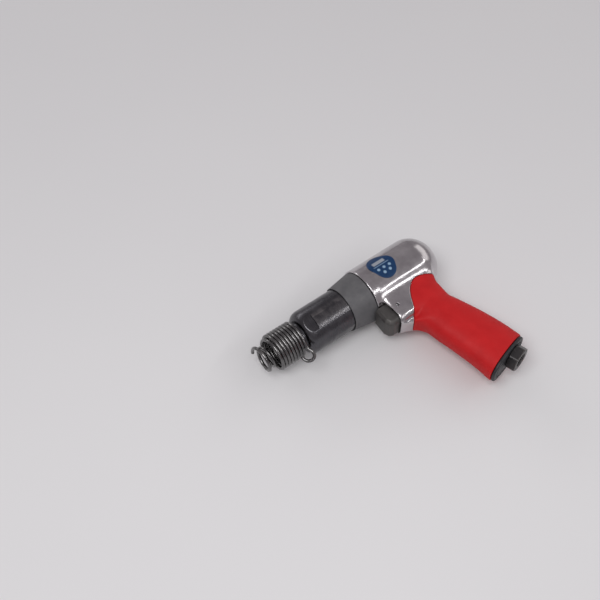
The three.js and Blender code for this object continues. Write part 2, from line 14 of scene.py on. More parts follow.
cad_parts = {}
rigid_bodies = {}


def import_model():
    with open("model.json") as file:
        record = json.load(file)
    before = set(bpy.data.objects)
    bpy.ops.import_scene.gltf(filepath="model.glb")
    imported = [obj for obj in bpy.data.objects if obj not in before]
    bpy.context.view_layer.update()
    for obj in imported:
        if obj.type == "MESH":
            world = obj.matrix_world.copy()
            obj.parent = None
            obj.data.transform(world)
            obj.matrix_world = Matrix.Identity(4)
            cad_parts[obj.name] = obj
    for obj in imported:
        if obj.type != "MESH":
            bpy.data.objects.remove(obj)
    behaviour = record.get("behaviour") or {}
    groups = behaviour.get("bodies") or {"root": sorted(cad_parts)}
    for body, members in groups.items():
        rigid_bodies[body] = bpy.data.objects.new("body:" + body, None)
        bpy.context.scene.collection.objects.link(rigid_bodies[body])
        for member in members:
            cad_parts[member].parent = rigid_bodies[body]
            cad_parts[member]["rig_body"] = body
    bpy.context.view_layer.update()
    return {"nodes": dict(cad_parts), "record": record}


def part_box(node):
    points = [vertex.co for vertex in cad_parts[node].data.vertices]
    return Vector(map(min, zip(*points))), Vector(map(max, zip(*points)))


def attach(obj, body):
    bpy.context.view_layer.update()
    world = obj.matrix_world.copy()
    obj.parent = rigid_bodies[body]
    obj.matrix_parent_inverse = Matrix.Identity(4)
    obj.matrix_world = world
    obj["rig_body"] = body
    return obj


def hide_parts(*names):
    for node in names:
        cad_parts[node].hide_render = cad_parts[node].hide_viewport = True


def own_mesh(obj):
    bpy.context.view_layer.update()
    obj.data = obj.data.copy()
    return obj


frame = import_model()

# ---------- driving dimensions, in millimetres and degrees ----------
MM = 0.001
GAP = 0.3
BODY_RADIUS, BODY_FRONT, DOME_START, DOME_LENGTH = 27.0, 24.2, 84.0, 24.5
BORE_RADIUS, BORE_END, CAVITY_RADIUS, CAVITY_END = 21.6, 85.6, 15.0, 97.0
BARREL_RADIUS, BARREL_REAR, BARREL_BORE = 21.2, 61.8, 9.5
NOSE_RADIUS, NOSE_FRONT, NOSE_REAR, SHOULDER_REAR = 14.1, -66.0, -48.4, -39.5
SOCKET_RADIUS, SOCKET_END = 5.2, -34.0
FLAT_REAR, FLAT_DISTANCE, FLAT_TILT = -35.6, 19.5, 16.0
COLLAR_REAR, COLLAR_FRONT_RADIUS, COLLAR_REAR_RADIUS = 23.7, 22.6, 26.0
COIL = {"wire": 1.55, "radius": 16.4, "rear": -52.9, "start": 318.0, "pitch": 3.264, "turns": 7.797,
        "end_turns": 2.6, "waist": 9.6, "mouth": 12.6, "stretch": 5.2}
HOOK = {"lead": 9.0, "radius": 5.6, "offset": -3.6, "reach": 6.2, "dip": 12.0,
        "from": 195, "to": -30, "step": -25}
PORT_X, PORT_RADIUS, BARREL_PORT_RANGE = 12, 2, 25
FEED_FRONT, FEED_CIRCLE, FEED_RADIUS = -27, 15.4, 1.3
GROOVE_FRONT, GROOVE_REAR, GROOVE_DEPTH = 33.0, 35.6, 2
PISTON_RADIUS, PISTON_FRONT, PISTON_REAR = 9.35, 31.6, 61.6
VALVE_RADIUS, BLOCK_REAR, COVER_FRONT, COVER_REAR = 21.2, 70.2, 72.4, 82.0
# Ports of the valve: how many, the circle they lie on, their radius, the first one's angle.
BLOCK_PORTS, COVER_PORTS = (6, 8.2, 1.2, 30), (4, 12.6, 1.6, 45)
DOWEL_FRONT, DOWEL_Y, DOWEL_RADIUS, DOWEL_HOLE = 55.5, -15.5, 1.5, 1.8
CUSHION_OUTER, CUSHION_INNER = 20.6, 17
PLATE_RADIUS, PLATE_FRONT, PLATE_WALL = 11.0, 69.3, 1.4
TRIGGER_HALF_WIDTH, TRIGGER_BEVEL, TRIGGER_BOTTOM, TRIGGER_CORNER = 12.1, 3.4, -47.7, 6.5
TRIGGER_TOP, TRIGGER_REAR = -23, 43
TRIGGER_SIDE = [(19.6, TRIGGER_TOP), (18.4, -40), (20.2, -45.1), (24.4, TRIGGER_BOTTOM),
                (TRIGGER_REAR, TRIGGER_BOTTOM), (TRIGGER_REAR, TRIGGER_TOP)]
TRIGGER_TRAVEL = 4.5
POCKET_LOW, POCKET_HIGH, POCKET_CORNER = (14.0, -48.9, -13.6), (48.6, -22.0, 13.6), 8.0
PIN_X, PIN_Y, PIN_RADIUS, PIN_HOLE, PIN_HALF_LENGTH = 37.6, -34.6, 1.2, 1.5, 14.6
THROTTLE_Y, THROTTLE_BORE, THROTTLE_END, THROTTLE_SEAT, STEM_RADIUS = -38.0, 7.2, 80.5, 63.2, 2.0
THROTTLE_PORT_X, THROTTLE_PORT_RADIUS = 57.5, 1.8
RETURN_TURNS, RETURN_RADIUS, RETURN_WIRE = 4.5, 4, 0.45
PASSAGE_START, PASSAGE_END, PASSAGE_RADIUS, AIR_WAY_DEPTH = (55, -33, 0), (78, -15.9, 0), 2.6, -94
SLEEVE_WALL = 2.4
END_X, END_Y, END_TILT = 85.0, -130.0, 15.5
PLATE_DEPTH, PLATE_HALF_LONG, PLATE_HALF_THICK = 3.0, 25.2, 15.3
INLET_OFFSET, HEX_FLATS, HEX_LENGTH, HEX_TURN = 6.0, 22.0, 9.0, 16.0
NECK_RADIUS, NECK_LENGTH, INLET_BORE, THREAD_PITCH, THREAD_DEPTH = 8.5, 15.0, 5.7, 1.34, 0.55
SCREEN_WALL, SCREEN_SPACING, SCREEN_HOLE = 1.2, 2.6, 0.9
# Sections: x and y of the centre, fore-and-aft tilt, half length, half thickness.
GRIP_SECTIONS = [
    (71.5, -22, 8, 19, 15), (68.2, -34, 12, 19.3, 15.3), (67.3, -50, 14, 19.8, 15.3),
    (71.2, -66, 16, 21.7, 15.4), (76.3, -84, 16, 23.3, 15.5), (80.7, -102, 16, 24.5, 15.6),
    (83.5, -117, 15.5, 25.3, 15.8), (END_X, END_Y, END_TILT, 26, 16),
]
WEB_SECTIONS = [
    (60, -8, 0, 32.5, 23), (60.5, -15, 0, 32.3, 21.9), (60, -20, 0, 31.5, 19), (59, -26, 0, 30, 17),
    (57.5, -34, 0, 28, 15.9), (57, -41, 0, 28, 15.3), (57, -45, 0, 27.9, 14.3),
    (57.2, -48, 0, 27.5, 12.2), (57.8, -50, 0, 26.6, 9.4), (59, -51.8, 0, 24.2, 8.4),
    (62, -55, 0, 19.5, 9.4), (66, -60, 0, 16.5, 10.6), (70, -68, 0, 12, 9.5),
]
GRIP_POWER, WEB_POWER = 2.5, 7.0
SLEEVE_EDGE = [
    (20, -74), (38, -58.5), (44.2, -51), (48.5, -45.5), (53.4, -35.4), (57.8, -28.6), (63, -24),
    (68, -22.2), (73.5, -22.4), (79, -24), (85, -26.5), (95, -29), (112, -31),
]
BADGE_CORNERS, BADGE_CORNER_RADIUS = [(47, 6), (51.3, 3.1), (49.4, -1.1)], 10.8
BADGE_INNER, BADGE_OUTER = 27.1, 27.65

# The tool's own frame in the row frame: the collar's front edge on the barrel's axis.
barrel_low, barrel_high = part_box("barrel")
ORIGIN = (barrel_low + barrel_high) / 2
ORIGIN.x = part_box("exhaust_collar")[0].x


def spot(x, y, z):
    """A point of the tool's frame in the row frame, in metres."""
    return ORIGIN + Vector((x, y, z)) * MM


# ---------- fields: negative inside, positive outside, about a distance in millimetres ----------
def joined(a, b, fillet):
    corner = np.hypot(np.maximum(fillet - a, 0), np.maximum(fillet - b, 0))
    return np.maximum(fillet, np.minimum(a, b)) - corner


def common(a, b, edge):
    corner = np.hypot(np.maximum(edge + a, 0), np.maximum(edge + b, 0))
    return np.minimum(-edge, np.maximum(a, b)) + corner


def without(a, b, edge):
    return common(a, -b, edge)


def outline_field(points, u, v):
    """Distance to a closed outline, given as its corners."""
    nearest = np.inf
    inside = False
    for (au, av), (bu, bv) in zip(points, points[1:] + points[:1]):
        du, dv = bu - au, bv - av
        share = np.clip(((u - au) * du + (v - av) * dv) / (du * du + dv * dv), 0, 1)
        nearest = np.minimum(nearest, np.hypot(u - au - du * share, v - av - dv * share))
        if dv != 0:
            inside = inside ^ (((av > v) != (bv > v)) & (u < au + du * (v - av) / dv))
    return np.where(inside, -nearest, nearest)


def rod_field(x, y, z, start, end, radius):
    start = np.array(start, float)
    axis = np.array(end, float) - start
    length = np.linalg.norm(axis)
    axis = axis / length
    px, py, pz = x - start[0], y - start[1], z - start[2]
    along = px * axis[0] + py * axis[1] + pz * axis[2]
    across = np.sqrt(np.maximum(px * px + py * py + pz * pz - along * along, 0))
    return np.maximum(across - radius, np.maximum(-along, along - length))


def box_field(x, y, z, low, high, edge):
    parts = []
    for value, least, most in zip((x, y, z), low, high):
        parts.append(np.abs(value - (least + most) / 2) - (most - least) / 2 + edge)
    outside = np.sqrt(sum(np.maximum(part, 0) ** 2 for part in parts))
    return outside + np.minimum(np.maximum(np.maximum(parts[0], parts[1]), parts[2]), 0) - edge


def channel_field(y, z, half_width, bottom, corner):
    """A bar along x, open upwards in y, with a flat underside and round lower edges."""
    aside = np.abs(z) - half_width + corner
    below = bottom + corner - y
    outside = np.hypot(np.maximum(aside, 0), np.maximum(below, 0))
    return outside + np.minimum(np.maximum(aside, below), 0) - corner


def smooth_rows(rows, samples):
    """Rows of numbers joined by a Catmull-Rom spline."""
    knots = np.array(rows, float)
    knots = np.vstack([2 * knots[0] - knots[1], knots, 2 * knots[-1] - knots[-2]])
    place = np.linspace(0, len(rows) - 1, samples)
    index = np.minimum(place.astype(int), len(rows) - 2)
    t = (place - index)[:, None]
    a, b, c, d = (knots[index + k] for k in range(4))
    cubic = 3 * b - a - 3 * c + d
    return 0.5 * (2 * b + (c - a) * t + (2 * a - 5 * b + 4 * c - d) * t**2 + cubic * t**3)


def loft_field(rows, power, x, y, z, inset):
    """A skin through superellipse sections that lean fore and aft."""
    table = smooth_rows(rows, 240)[::-1]
    level = y
    for _ in range(5):
        centre = np.interp(level, table[:, 1], table[:, 0])
        lean = np.radians(np.interp(level, table[:, 1], table[:, 2]))
        level = y - (x - centre) * np.tan(lean)
    half_long = np.interp(level, table[:, 1], table[:, 3]) - inset
    half_thick = np.interp(level, table[:, 1], table[:, 4]) - inset
    u = np.abs((x - centre) / np.cos(lean)) / half_long
    v = np.abs(z) / half_thick
    size = (u**power + v**power + 1e-9) ** (1 / power)
    slope = np.hypot(u ** (power - 1) / half_long, v ** (power - 1) / half_thick) / size ** (power - 1)
    return (size - 1) / np.maximum(slope, 1 / half_long), level


def end_plane(x, y):
    """How far a point is past the grip's lower end."""
    tilt = math.radians(END_TILT)
    return (x - END_X) * math.sin(tilt) - (y - END_Y) * math.cos(tilt)


def end_point(offset, depth, height=0.0):
    tilt = math.radians(END_TILT)
    return (END_X + offset * math.cos(tilt) + depth * math.sin(tilt),
            END_Y + offset * math.sin(tilt) - depth * math.cos(tilt), height)


def handle_field(x, y, z, inset):
    grip, grip_level = loft_field(GRIP_SECTIONS, GRIP_POWER, x, y, z, inset)
    web, web_level = loft_field(WEB_SECTIONS, WEB_POWER, x, y, z, inset)
    grip = np.maximum(grip, grip_level - GRIP_SECTIONS[0][1])
    web = np.maximum(np.maximum(web, web_level - WEB_SECTIONS[0][1]), WEB_SECTIONS[-1][1] - web_level)
    return joined(grip, web, 4.0)


def body_field(x, y, z, grow=0.0):
    """The round barrel housing with its domed rear."""
    radius, length = BODY_RADIUS + grow, DOME_LENGTH + grow
    across = np.hypot(y, z) + 1e-6
    past = np.maximum(x - DOME_START, 0)
    near = np.hypot(past / length, across / radius)
    skin = near * (near - 1) / np.hypot(past / length**2, across / radius**2)
    return common(skin, BODY_FRONT - grow - x, 0.9)


def sleeve_region(x, y):
    """Where the rubber sleeve covers the handle, seen from the side."""
    edge = [tuple(row) for row in smooth_rows(SLEEVE_EDGE, 37)]
    return outline_field(edge + [(150, -31), (150, -170), (20, -170)], x, y)


def housing_field(x, y, z):
    region = sleeve_region(x, y) - GAP
    end = end_plane(x, y)
    web = without(handle_field(x, y, z, 0), region, 0.6)
    tang = common(handle_field(x, y, z, SLEEVE_WALL + GAP), end, 0.8)
    skin = np.minimum(joined(body_field(x, y, z), web, 2.2), tang)
    across = np.hypot(y, z)
    chamber = outline_field(
        [(BODY_FRONT - 5, -9), (BODY_FRONT - 5, BORE_RADIUS), (BORE_END, BORE_RADIUS),
         (BORE_END, CAVITY_RADIUS), (CAVITY_END - 4, CAVITY_RADIUS), (CAVITY_END, CAVITY_RADIUS - 4),
         (CAVITY_END, -9)], x, across)
    pocket = np.maximum(box_field(x, y, z, POCKET_LOW, POCKET_HIGH, 1.5), BODY_RADIUS - across)
    pocket = np.maximum(pocket, channel_field(y, z, POCKET_HIGH[2], POCKET_LOW[1], POCKET_CORNER))
    skin = without(skin, pocket, 0.6)
    skin = without(skin, chamber, 0.5)
    skin = without(skin, np.hypot(x - PIN_X, y - PIN_Y) - PIN_HOLE, 0.25)
    passages = rod_field(x, y, z, (POCKET_HIGH[0] - 1, THROTTLE_Y, 0), (THROTTLE_END, THROTTLE_Y, 0),
                         THROTTLE_BORE)
    passages = np.minimum(passages, rod_field(x, y, z, PASSAGE_START, PASSAGE_END, PASSAGE_RADIUS))
    for depth, radius in ((AIR_WAY_DEPTH, INLET_BORE), (-NECK_LENGTH - 1, NECK_RADIUS + GAP)):
        drilled = rod_field(x, y, z, end_point(INLET_OFFSET, 3), end_point(INLET_OFFSET, depth), radius)
        passages = np.minimum(passages, drilled)
    return without(skin, passages, 0.3)


def sleeve_field(x, y, z):
    outer = common(handle_field(x, y, z, 0), sleeve_region(x, y), 1.0)
    outer = common(outer, end_plane(x, y), 0.7)
    outer = without(outer, body_field(x, y, z, GAP), 0.5)
    return without(outer, handle_field(x, y, z, SLEEVE_WALL), 0.3)


def trigger_field(x, y, z):
    side = outline_field(TRIGGER_SIDE, x, y)
    face = np.abs(z) - TRIGGER_HALF_WIDTH
    slope = (side + face + TRIGGER_BEVEL) / math.sqrt(2)
    block = common(common(side + 0.05, slope, 0.9), face, 0.9)
    block = common(block, channel_field(y, z, TRIGGER_HALF_WIDTH, TRIGGER_BOTTOM, TRIGGER_CORNER), 0.9)
    block = without(block, np.hypot(y, z) - BODY_RADIUS - 0.4, 0.4)
    slot_low = (PIN_X - PIN_RADIUS - TRIGGER_TRAVEL - 0.4, PIN_Y - 1.6, -20)
    slot = box_field(x, y, z, slot_low, (PIN_X + PIN_RADIUS + 0.4, PIN_Y + 1.6, 20), 1.2)
    return without(block, slot, 0.3)


def in_end_frame(x, y):
    """Fore-and-aft offset and depth from the grip's lower end."""
    tilt = math.radians(END_TILT)
    return (x - END_X) * math.cos(tilt) + (y - END_Y) * math.sin(tilt), end_plane(x, y)


def end_plate_field(x, y, z):
    offset, depth = in_end_frame(x, y)
    u, v = np.abs(offset) / PLATE_HALF_LONG, np.abs(z) / PLATE_HALF_THICK
    size = (u**GRIP_POWER + v**GRIP_POWER + 1e-9) ** (1 / GRIP_POWER)
    steep = GRIP_POWER - 1
    slope = np.hypot(u**steep / PLATE_HALF_LONG, v**steep / PLATE_HALF_THICK) / size**steep
    rim = (size - 1) / np.maximum(slope, 1 / PLATE_HALF_LONG)
    slab = np.abs(depth - GAP - PLATE_DEPTH / 2) - PLATE_DEPTH / 2
    plate = common(rim, slab, 1.2)
    groove = np.hypot(rim + 5.2, depth - GAP - PLATE_DEPTH) - 0.7
    plate = without(plate, groove, 0.25)
    return without(plate, np.hypot(offset - INLET_OFFSET, z) - NECK_RADIUS - GAP, 0.4)


def inlet_field(x, y, z):
    offset, depth = in_end_frame(x, y)
    offset = offset - INLET_OFFSET
    across = np.hypot(offset, z)
    hexagon = -np.inf
    for k in range(3):
        turn = math.radians(HEX_TURN + 30 + 60 * k)
        hexagon = np.maximum(hexagon, np.abs(offset * math.sin(turn) + z * math.cos(turn)) - HEX_FLATS / 2)
    top, bottom = 2 * GAP + PLATE_DEPTH, 2 * GAP + PLATE_DEPTH + HEX_LENGTH
    head = common(hexagon, across - 12.2, 0.2)
    head = common(head, np.maximum(top - depth, depth - bottom), 0.3)
    for plane in (top - depth, depth - bottom):
        head = common(head, (across - 11.2) * 0.5 + plane * math.cos(math.pi / 6), 0.2)
    neck = common(across - NECK_RADIUS, np.maximum(-NECK_LENGTH - depth, depth - top - 1), 0.4)
    groove = np.hypot((across - NECK_RADIUS + 0.35) * 0.9, depth + 1.3) - 1.1
    bushing = joined(head, without(neck, groove, 0.2), 0.4)
    turn = np.arctan2(z, offset) / (2 * math.pi)
    wave = np.abs((depth / THREAD_PITCH - turn) % 1 - 0.5) * 2
    threaded = np.clip((depth + 6) / 2, 0, 1)
    mouth = np.maximum(depth - bottom + 1.3, 0)
    bore = across - INLET_BORE - THREAD_DEPTH * wave * threaded - mouth
    return without(bushing, bore * 0.8, 0.12)


# ---------- from fields to meshes ----------
def values_at(field, points):
    return field(points[:, 0], points[:, 1], points[:, 2])


def slopes_at(field, points, reach=0.02):
    columns = []
    for axis in np.eye(3) * reach:
        columns.append((values_at(field, points + axis) - values_at(field, points - axis)) / (2 * reach))
    return np.stack(columns, axis=1)


def settled(field, points, rounds, most):
    """Points moved down the field's slope onto its surface, by at most that many millimetres a round."""
    for _ in range(rounds):
        slopes = slopes_at(field, points)
        steep = np.maximum((slopes * slopes).sum(axis=1), 0.05)
        shift = -(values_at(field, points) / steep)[:, None] * slopes
        length = np.maximum(np.linalg.norm(shift, axis=1), 1e-9)
        points = points + shift * np.minimum(1, most / length)[:, None]
    return points


def surface_net(field, low, high, step):
    """Points and quads of a field's zero surface: one point in each mixed cell of a cubic grid."""
    x, y, z = (np.arange(low[k], high[k] + step, step) for k in range(3))
    grid = np.broadcast_to(field(x[:, None, None], y[None, :, None], z[None, None, :]),
                           (len(x), len(y), len(z)))
    filled = grid < 0
    count = sum(filled[i:len(x) - 1 + i, j:len(y) - 1 + j, k:len(z) - 1 + k].astype(np.int8)
                for i in (0, 1) for j in (0, 1) for k in (0, 1))
    cells = np.argwhere((count > 0) & (count < 8))
    number = np.full(count.shape, -1)
    number[tuple(cells.T)] = np.arange(len(cells))
    total, crossings = np.zeros((len(cells), 3)), np.zeros(len(cells))
    quads = []
    for axis in range(3):
        unit = np.eye(3, dtype=int)[axis]
        first, second = (np.eye(3, dtype=int)[(axis + k) % 3] for k in (1, 2))
        for i in (0, 1):
            for j in (0, 1):
                corner = first * i + second * j
                a = grid[tuple((cells + corner).T)]
                b = grid[tuple((cells + corner + unit).T)]
                mixed = (a < 0) != (b < 0)
                share = np.where(mixed, a / np.where(mixed, a - b, 1), 0)
                total += np.where(mixed[:, None], corner + unit * share[:, None], 0)
                crossings += mixed
        here = [slice(None)] * 3
        here[axis] = slice(0, -1)
        ahead = [slice(None)] * 3
        ahead[axis] = slice(1, None)
        start, end = filled[tuple(here)], filled[tuple(ahead)]
        for leaving in (True, False):
            edges = np.argwhere((start & ~end) if leaving else (~start & end))
            ring = [edges - first - second, edges - second, edges, edges - first]
            quad = np.stack([number[tuple(corner.T)] for corner in ring], axis=1)
            quads.append(quad if leaving else quad[:, ::-1])
    points = np.array(low) + (cells + total / crossings[:, None]) * step
    return points, np.vstack(quads)


def new_mesh(name, points, faces):
    """A mesh of points in the tool's frame."""
    mesh = bpy.data.meshes.new(name)
    mesh.from_pydata((np.asarray(points) * MM + np.array(ORIGIN)).tolist(), [], [tuple(f) for f in faces])
    mesh.validate()
    return mesh


def new_object(name, mesh):
    piece = bpy.data.objects.new(name, mesh)
    bpy.context.scene.collection.objects.link(piece)
    return piece


def apply_modifiers(piece):
    graph = bpy.context.evaluated_depsgraph_get()
    piece.data = bpy.data.meshes.new_from_object(piece.evaluated_get(graph), depsgraph=graph)
    piece.modifiers.clear()


def carved(name, field, low, high, step, keep=1.0):
    """A closed piece of the field, thinned to a share of its faces, with normals from the field."""
    points, quads = surface_net(field, low, high, step)
    points = settled(field, points, 2, step / 2)
    piece = new_object(name, new_mesh(name, points, quads.tolist()))
    if keep < 1:
        thin = piece.modifiers.new("thin", "DECIMATE")
        thin.ratio = keep
        apply_modifiers(piece)
    mesh = piece.data
    flat = np.empty(len(mesh.vertices) * 3)
    mesh.vertices.foreach_get("co", flat)
    points = (flat.reshape(-1, 3) - np.array(ORIGIN)) / MM
    points = settled(field, points, 2, step / 4)
    mesh.vertices.foreach_set("co", (points * MM + np.array(ORIGIN)).ravel())
    mesh.update()
    slopes = slopes_at(field, points, 0.08)
    slopes /= np.maximum(np.linalg.norm(slopes, axis=1), 1e-9)[:, None]
    mesh.shade_smooth()
    mesh.normals_split_custom_set_from_vertices(slopes.tolist())
    return piece


# ---------- turned and drawn pieces ----------
def eased(outline, radius, closed=True, steps=4):
    """The outline with its corners rounded; corners on the axis stay."""
    made = []
    count = len(outline)
    for i, corner in enumerate(outline):
        here = np.array(corner, float)
        before, after = (np.array(outline[(i + k) % count], float) for k in (-1, 1))
        ends_here = not closed and i in (0, count - 1)
        if ends_here or here[1] == 0:
            made.append(tuple(here))
            continue
        back, ahead = before - here, after - here
        back_length, ahead_length = np.linalg.norm(back), np.linalg.norm(ahead)
        back, ahead = back / back_length, ahead / ahead_length
        half_angle = math.acos(max(-1, min(1, float(back @ ahead)))) / 2
        if half_angle > math.radians(80):
            made.append(tuple(here))
            continue
        reach = min(radius / math.tan(half_angle), 0.42 * back_length, 0.42 * ahead_length)
        bend = reach * math.tan(half_angle)
        centre = here + (back + ahead) / np.linalg.norm(back + ahead) * (bend / math.sin(half_angle))
        start, end = here + back * reach - centre, here + ahead * reach - centre
        angle = math.acos(max(-1, min(1, float(start @ end) / bend**2)))
        for k in range(steps + 1):
            share = k / steps
            arm = start * math.sin((1 - share) * angle) + end * math.sin(share * angle)
            made.append(tuple(centre + arm / math.sin(angle)))
    return made


def turned_mesh(outline, segments):
    """Points and faces of a closed body turned about the x axis from an outline of [x, radius]."""
    points, rows = [], []
    for x, radius in outline:
        if radius < 1e-6:
            rows.append([len(points)] * segments)
            points.append((x, 0, 0))
            continue
        rows.append(list(range(len(points), len(points) + segments)))
        for k in range(segments):
            angle = 2 * math.pi * k / segments
            points.append((x, radius * math.sin(angle), radius * math.cos(angle)))
    faces = []
    pairs = list(zip(rows, rows[1:]))
    if outline[0][1] > 1e-6:
        pairs.append((rows[-1], rows[0]))
    for a, b in pairs:
        for k in range(segments):
            n = (k + 1) % segments
            face = list(dict.fromkeys([a[k], b[k], b[n], a[n]]))
            if len(face) > 2:
                faces.append(face)
    return points, faces


def shaded(piece, degrees=32):
    piece.data.shade_smooth()
    piece.data.set_sharp_from_angle(angle=math.radians(degrees))
    return piece


def placed(points, start, direction):
    """Points of a body turned about x, moved to start and turned to point along direction."""
    turn = Vector((1, 0, 0)).rotation_difference(Vector(direction).normalized()).to_matrix()
    return np.asarray(points) @ np.array(turn).T + np.array(start)


def turned(name, outline, ease=0.3, segments=96, start=(0, 0, 0), direction=(1, 0, 0), holes=()):
    """A turned piece with eased corners; holes lists rods to drill as (from, to, radius)."""
    points, faces = turned_mesh(eased(outline, ease), segments)
    piece = new_object(name, new_mesh(name, placed(points, start, direction), faces))
    drill(piece, holes)
    return shaded(piece)


def drill(piece, holes):
    if not holes:
        return
    points, faces = [], []
    for start, end, radius in holes:
        axis = Vector(end) - Vector(start)
        rod = [(0, 0), (0, radius), (axis.length, radius), (axis.length, 0)]
        rod_points, rod_faces = turned_mesh(rod, 32)
        faces += [[corner + len(points) for corner in face] for face in rod_faces]
        points += placed(rod_points, start, axis).tolist()
    cutter = new_object("drill_rods", new_mesh("drill_rods", points, faces))
    cut = piece.modifiers.new("drill", "BOOLEAN")
    cut.object = cutter
    cut.operation = "DIFFERENCE"
    cut.solver = "EXACT"
    cut.use_self = True
    apply_modifiers(piece)
    bpy.data.objects.remove(cutter)


def wire(name, path, radius, sides=20):
    """A round wire along points, with eased ends."""
    path = np.asarray(path, float)
    tangents = np.gradient(path, axis=0)
    tangents /= np.linalg.norm(tangents, axis=1)[:, None]
    normal = np.cross(tangents[0], (0.3, 0.5, 0.8))
    rows = []
    for point, tangent in zip(path, tangents):
        normal = normal - tangent * (normal @ tangent)
        normal /= np.linalg.norm(normal)
        rows.append((point, tangent, normal, np.cross(tangent, normal), 1.0))
    ends = []
    for sign, row in ((-1, rows[0]), (1, rows[-1])):
        point, tangent, normal, other, _ = row
        caps = [(point + sign * tangent * radius * 0.35 * math.sin(a), tangent, normal, other,
                 1 - 0.35 * (1 - math.cos(a))) for a in np.radians((30, 60, 90))]
        ends.append(caps)
    rows = ends[0][::-1] + rows + ends[1]
    points, faces = [], []
    for point, _, normal, other, share in rows:
        for k in range(sides):
            angle = 2 * math.pi * k / sides
            points.append(point + radius * share * (normal * math.cos(angle) + other * math.sin(angle)))
    for row in range(len(rows) - 1):
        for k in range(sides):
            a, b = row * sides + k, row * sides + (k + 1) % sides
            faces.append([a, b, b + sides, a + sides])
    faces.append(list(range(sides))[::-1])
    faces.append([(len(rows) - 1) * sides + k for k in range(sides)])
    return shaded(new_object(name, new_mesh(name, points, faces)), 50)


# ---------- material nodes ----------
class Finish:
    """A Principled material with short calls for the nodes behind it."""

    def __init__(self, name, metallic, specular=0.5):
        self.material = bpy.data.materials.new(name)
        self.material.use_nodes = True
        self.tree = self.material.node_tree
        self.shader = self.tree.nodes["Principled BSDF"]
        self.shader.inputs["Metallic"].default_value = metallic
        self.shader.inputs["Specular IOR Level"].default_value = specular
        self.place = self.tree.nodes.new("ShaderNodeTexCoord").outputs["Object"]

    def node(self, kind, inputs=None, **settings):
        made = self.tree.nodes.new("ShaderNode" + kind)
        for key, value in settings.items():
            setattr(made, key, value)
        for key, value in (inputs or {}).items():
            if isinstance(value, bpy.types.NodeSocket):
                self.tree.links.new(value, made.inputs[key])
            else:
                made.inputs[key].default_value = value
        return made

    def stretched(self, scale):
        """The surface's place times a scale for each axis, for grain that runs one way."""
        return self.node("Mapping", {"Vector": self.place, "Scale": scale}).outputs["Vector"]

    def noise(self, size_mm, detail=3.0, place=None, rough=0.55):
        scale = 1 / (size_mm * MM) if place is None else 1.0
        inputs = {"Vector": place or self.place, "Scale": scale, "Detail": detail, "Roughness": rough}
        return self.node("TexNoise", inputs).outputs["Fac"]

    def spread(self, value, low, high, low_value=0.0, high_value=1.0):
        """The value's stretch from low to high laid over another stretch."""
        inputs = {"Value": value, "From Min": low, "From Max": high,
                  "To Min": low_value, "To Max": high_value}
        return self.node("MapRange", inputs).outputs["Result"]

    def maths(self, operation, a, b=0.0):
        return self.node("Math", {0: a, 1: b}, operation=operation).outputs["Value"]

    def mixed(self, share, a, b):
        mix = self.node("Mix", {"Factor": share}, data_type="RGBA")
        for key, value in ((6, a), (7, b)):
            if isinstance(value, bpy.types.NodeSocket):
                self.tree.links.new(value, mix.inputs[key])
            else:
                mix.inputs[key].default_value = (*value, 1)
        return mix.outputs[2]

    def bumps(self, *layers):
        """Bump from (height, strength, depth in millimetres) layers."""
        normal = None
        for height, strength, depth_mm in layers:
            inputs = {"Height": height, "Strength": strength, "Distance": depth_mm * MM}
            if normal is not None:
                inputs["Normal"] = normal
            normal = self.node("Bump", inputs).outputs["Normal"]
        self.tree.links.new(normal, self.shader.inputs["Normal"])

    def set(self, socket, value):
        if isinstance(value, bpy.types.NodeSocket):
            self.tree.links.new(value, self.shader.inputs[socket])
        else:
            self.shader.inputs[socket].default_value = value


def worn_edges(finish, spread_low=0.51, spread_high=0.60):
    """Bright where the surface bends outwards and is rubbed bare."""
    bend = finish.node("NewGeometry").outputs["Pointiness"]
    rubbed = finish.spread(bend, spread_low, spread_high)
    return finish.maths("MULTIPLY", rubbed, finish.spread(finish.noise(6), 0.35, 0.6))


def polished_aluminium():
    finish = Finish("polished_aluminium", 1.0)
    cloud = finish.noise(14, 4)
    strokes = finish.noise(1, 3, finish.stretched((70, 1900, 1900)))
    haze = finish.spread(finish.noise(5, 5), 0.35, 0.7)
    tone = finish.mixed(finish.spread(cloud, 0.3, 0.7), (0.46, 0.44, 0.455), (0.62, 0.60, 0.61))
    pores = finish.spread(finish.noise(0.9, 2), 0.70, 0.76)
    finish.set("Base Color", finish.mixed(finish.maths("MULTIPLY", pores, 0.5), tone, (0.2, 0.19, 0.185)))
    rough = finish.maths("ADD", finish.spread(strokes, 0.3, 0.7, 0.13, 0.20),
                         finish.maths("MULTIPLY", haze, 0.08))
    finish.set("Roughness", rough)
    finish.bumps((cloud, 0.5, 0.35), (strokes, 0.12, 0.04), (pores, -0.2, 0.05))
    return finish.material


def turned_metal(name, dark, light, rough_low, rough_high, metallic=1.0, wear=None, ring=2600):
    """Metal with fine lathe rings across its axis."""
    finish = Finish(name, metallic)
    rings = finish.noise(1, 2, finish.stretched((ring, 60, 60)))
    cloud = finish.noise(9, 4)
    colour = finish.mixed(finish.spread(cloud, 0.3, 0.7), dark, light)
    if wear:
        colour = finish.mixed(worn_edges(finish), colour, wear)
    finish.set("Base Color", colour)
    shine = finish.maths("ADD", finish.spread(rings, 0.3, 0.7, rough_low, rough_high),
                         finish.spread(cloud, 0.35, 0.7, 0.0, 0.06))
    finish.set("Roughness", shine)
    finish.bumps((rings, 0.12, 0.03), (cloud, 0.1, 0.1))
    return finish.material


